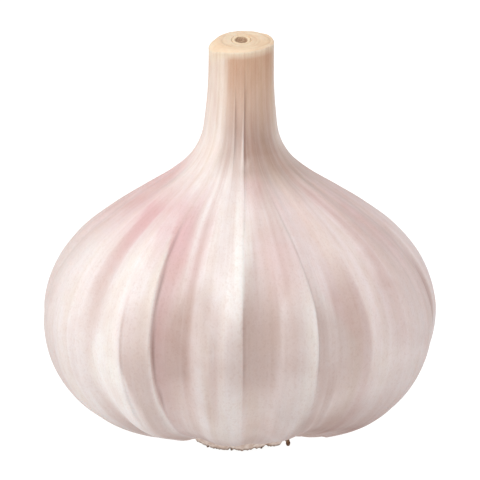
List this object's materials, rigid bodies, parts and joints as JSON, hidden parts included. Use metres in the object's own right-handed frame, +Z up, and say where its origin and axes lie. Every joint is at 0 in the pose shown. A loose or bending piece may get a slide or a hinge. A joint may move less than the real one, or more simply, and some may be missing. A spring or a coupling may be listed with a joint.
{
  "type": "garlic bulb",
  "caption": "Whole garlic bulb with lobed cloves under a papery wrapper skin, a short neck cut on a slight slant, and a trimmed root plate that it stands on.",
  "frame": {"origin": "middle of the flat spot under the root plate that the bulb stands on", "axes": "+Z up along the neck, -Y towards the front, the side that the neck's cut slopes down to"},
  "size_m": [0.0603, 0.0605, 0.0633],
  "materials": {
    "wrapper_skin": "dry papery leaf skin, off-white with pink blush and fine lengthwise veins, soft sheen",
    "dry_stalk": "dry tan plant stalk, fibrous and matt",
    "corky_root": "brown corky plate with dry root ends, matt"
  },
  "bodies": {
    "root": {"bulb": "wrapper_skin", "flower_stalk": "dry_stalk", "root_plate": "corky_root"}
  },
  "joints": []
}
